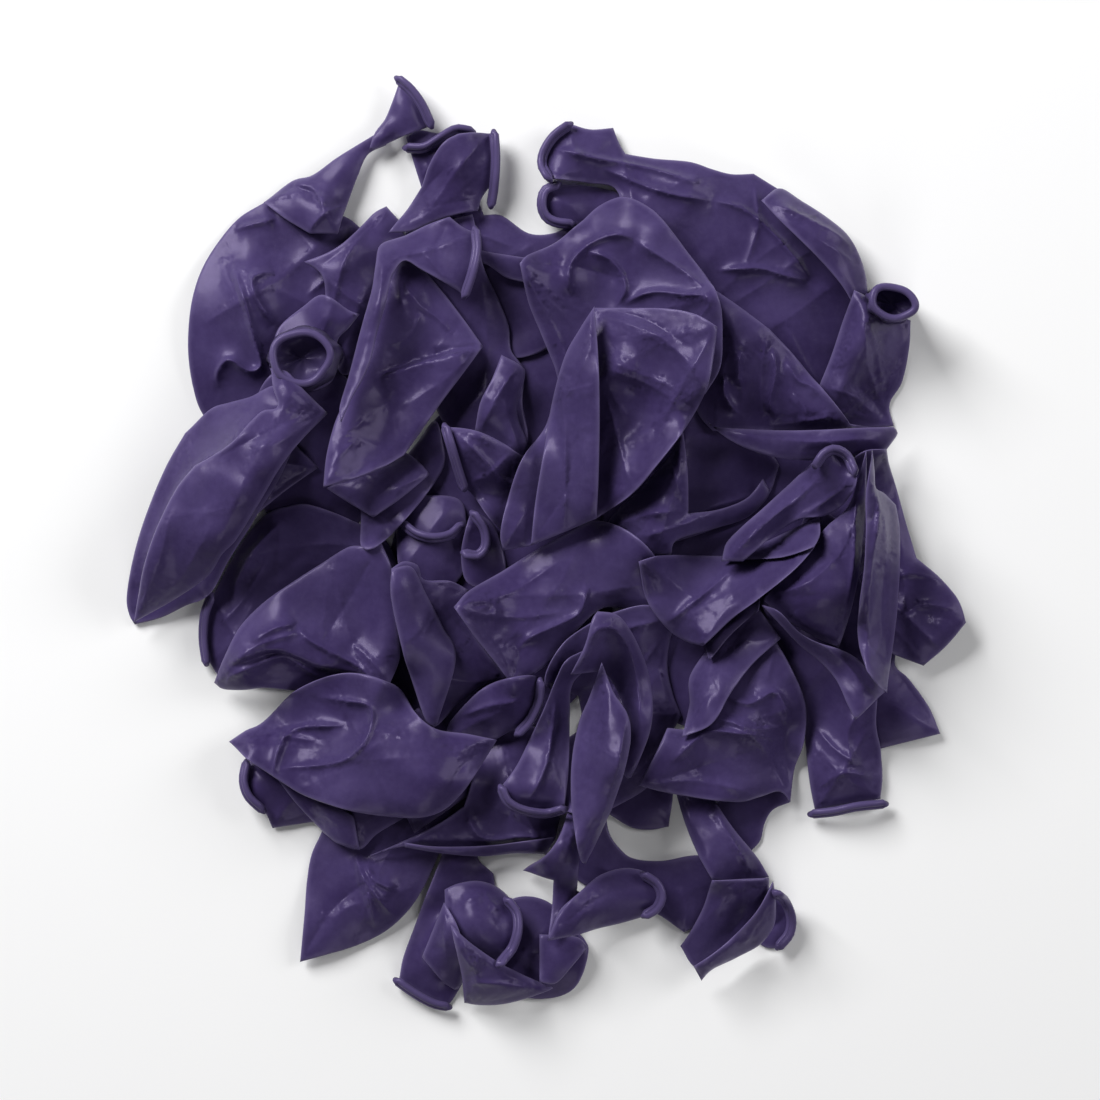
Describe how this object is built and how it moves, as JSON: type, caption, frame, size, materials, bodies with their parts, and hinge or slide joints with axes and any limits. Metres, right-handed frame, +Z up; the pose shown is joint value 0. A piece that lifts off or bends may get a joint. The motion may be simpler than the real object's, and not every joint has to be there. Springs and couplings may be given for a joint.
{
  "type": "latex balloon heap",
  "caption": "Loose heap of empty latex party balloons, each a folded film bag with a tapered neck and a rolled rim, lying as tipped out of the bag.",
  "frame": {"origin": "on the table, under the middle of the heap's outline", "axes": "+Z up off the table; +Y towards the top of the view from above; +X to the right of that view"},
  "size_m": [0.301, 0.3348, 0.0364],
  "materials": {
    "latex": "satin"
  },
  "bodies": {
    "heap": {"balloon_under_centre": "latex", "balloon_under_right": "latex", "balloon_top_behind": "latex", "balloon_upper_left": "latex", "balloon_open_mouth_left": "latex", "balloon_top_left": "latex", "balloon_centre_back": "latex", "balloon_upper_right": "latex", "balloon_right_folded": "latex", "balloon_lower_left_tip": "latex", "balloon_bottom_left": "latex", "balloon_bottom_centre": "latex", "balloon_left_low": "latex", "balloon_low_fold": "latex", "balloon_bottom_right": "latex", "balloon_bottom_middle": "latex", "balloon_far_right": "latex", "balloon_left_middle": "latex", "balloon_centre_left": "latex", "balloon_centre_slab": "latex", "balloon_right_low": "latex", "balloon_right_bowl": "latex", "balloon_right_upright": "latex"},
    "loose_centre_top": {"balloon_centre_top": "latex"},
    "loose_right_tube": {"balloon_right_tube": "latex"},
    "loose_left_diagonal": {"balloon_left_diagonal": "latex"},
    "loose_upper_centre_left": {"balloon_upper_centre_left": "latex"},
    "loose_left_leaf": {"balloon_left_leaf": "latex"},
    "loose_centre_arch": {"balloon_centre_arch": "latex"}
  },
  "joints": [
    {"name": "lift_centre_top", "type": "slide", "parent": "heap", "child": "loose_centre_top", "axis": [0, 0, 1], "range_m": [0, 0.15]},
    {"name": "lift_right_tube", "type": "slide", "parent": "heap", "child": "loose_right_tube", "axis": [0, 0, 1], "range_m": [0, 0.15]},
    {"name": "lift_left_diagonal", "type": "slide", "parent": "heap", "child": "loose_left_diagonal", "axis": [0, 0, 1], "range_m": [0, 0.15]},
    {"name": "lift_upper_centre_left", "type": "slide", "parent": "heap", "child": "loose_upper_centre_left", "axis": [0, 0, 1], "range_m": [0, 0.15]},
    {"name": "lift_left_leaf", "type": "slide", "parent": "heap", "child": "loose_left_leaf", "axis": [0, 0, 1], "range_m": [0, 0.15]},
    {"name": "lift_centre_arch", "type": "slide", "parent": "heap", "child": "loose_centre_arch", "axis": [0, 0, 1], "range_m": [0, 0.15]}
  ]
}
